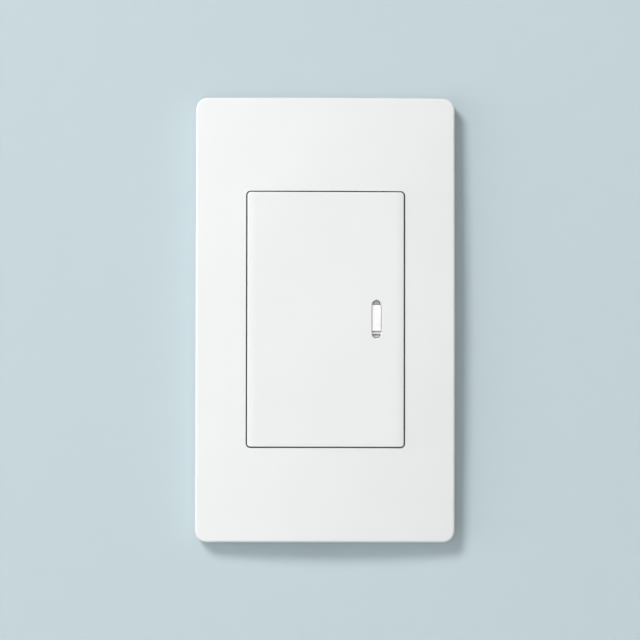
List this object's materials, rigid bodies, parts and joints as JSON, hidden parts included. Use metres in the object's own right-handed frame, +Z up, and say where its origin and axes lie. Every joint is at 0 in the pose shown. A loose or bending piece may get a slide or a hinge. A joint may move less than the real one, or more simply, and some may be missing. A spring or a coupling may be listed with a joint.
{
  "type": "toggle wall switch",
  "caption": "One-gang wall light switch with a single wide paddle hinged at its left side, an indicator window, a cover plate and its mounting frame.",
  "frame": {"origin": "middle of the cover plate's outline, on the wall's surface, between the two box screws", "axes": "+X to the right seen from the room, +Y into the wall, +Z up"},
  "size_m": [0.07, 0.0338, 0.12],
  "materials": {
    "plate_plastic": "white urea moulding, fine satin gloss",
    "base_plastic": "white ABS moulding, matt",
    "zinc_screws": "zinc-plated screws",
    "galvanised_steel": "galvanised sheet steel, pressed",
    "clear_lens": "clear polycarbonate, polished",
    "afterglow_plastic": "white luminous plastic",
    "case_front_plastic": "pale grey moulding",
    "case_plastic": "dark grey urea moulding",
    "nylon": "natural nylon",
    "spring_steel": "stainless spring steel",
    "contact_brass": "stamped brass strip",
    "contact_silver": "silver alloy contact rivets"
  },
  "bodies": {
    "wall_body": {"cover_plate": "plate_plastic", "plate_base": "base_plastic", "plate_screws": "zinc_screws", "mounting_frame": "galvanised_steel", "box_screws": "zinc_screws", "handle_carrier": "base_plastic", "module_cover": "case_front_plastic", "module_housing": "case_plastic", "rocker_axle": "spring_steel", "return_springs": "spring_steel", "fixed_contact_tip": "contact_silver", "load_terminal": "contact_brass", "common_terminal": "contact_brass", "lock_springs_load": "spring_steel", "lock_springs_common": "spring_steel"},
    "key": {"paddle": "plate_plastic", "indicator_lens": "clear_lens", "luminous_strip": "afterglow_plastic"},
    "push_piece": {"plunger": "nylon"},
    "finger": {"drive_finger": "nylon"},
    "rocker": {"flip_rocker": "nylon", "contact_spring": "spring_steel"},
    "cap": {"contact_cap": "nylon"},
    "blade": {"moving_contact": "contact_brass", "moving_contact_tip": "contact_silver"},
    "load_release": {"release_button_load": "nylon"},
    "common_release": {"release_button_common": "nylon"}
  },
  "joints": [
    {"name": "paddle_press", "type": "hinge", "parent": "wall_body", "child": "key", "pos_m": [-0.0172, -0.0043, 0], "axis": [0, 0, 1], "range_deg": [0, 3.6], "stiffness_Nm_per_rad": 0.3, "springref_deg": -9.17},
    {"name": "plunger_slide", "type": "slide", "parent": "wall_body", "child": "push_piece", "axis": [0, 1, 0], "range_m": [0, 0.00149], "deforming": ["return_springs"]},
    {"name": "finger_swing", "type": "hinge", "parent": "push_piece", "child": "finger", "pos_m": [0.0065, 0.0006, 0], "axis": [1, 0, 0], "range_deg": [-51.43, 0]},
    {"name": "rocker_flip", "type": "hinge", "parent": "wall_body", "child": "rocker", "pos_m": [0.0065, 0.01032, 0], "axis": [1, 0, 0], "range_deg": [0, 24]},
    {"name": "cap_slide", "type": "slide", "parent": "rocker", "child": "cap", "axis": [0, 0.9781, -0.2079], "range_m": [-0.0003, 0], "stiffness_N_per_m": 300, "springref_m": 0.002, "deforming": ["contact_spring"]},
    {"name": "contact_rock", "type": "hinge", "parent": "wall_body", "child": "blade", "pos_m": [0.0065, 0.01751, 0], "axis": [1, 0, 0], "range_deg": [-14.01, 0]},
    {"name": "load_release_push", "type": "slide", "parent": "wall_body", "child": "load_release", "axis": [0, -1, 0], "range_m": [0, 0.001], "stiffness_N_per_m": 900, "springref_m": -0.001, "deforming": ["lock_springs_load"]},
    {"name": "common_release_push", "type": "slide", "parent": "wall_body", "child": "common_release", "axis": [0, -1, 0], "range_m": [0, 0.001], "stiffness_N_per_m": 900, "springref_m": -0.001, "deforming": ["lock_springs_common"]}
  ],
  "couplings": [
    {"joint": "plunger_slide", "follows": "paddle_press", "m_per_rad": 0.023761},
    {"joint": "finger_swing", "follows": "rocker_flip", "ratio": -2.1425},
    {"joint": "contact_rock", "follows": "rocker_flip", "ratio": -0.58333}
  ]
}
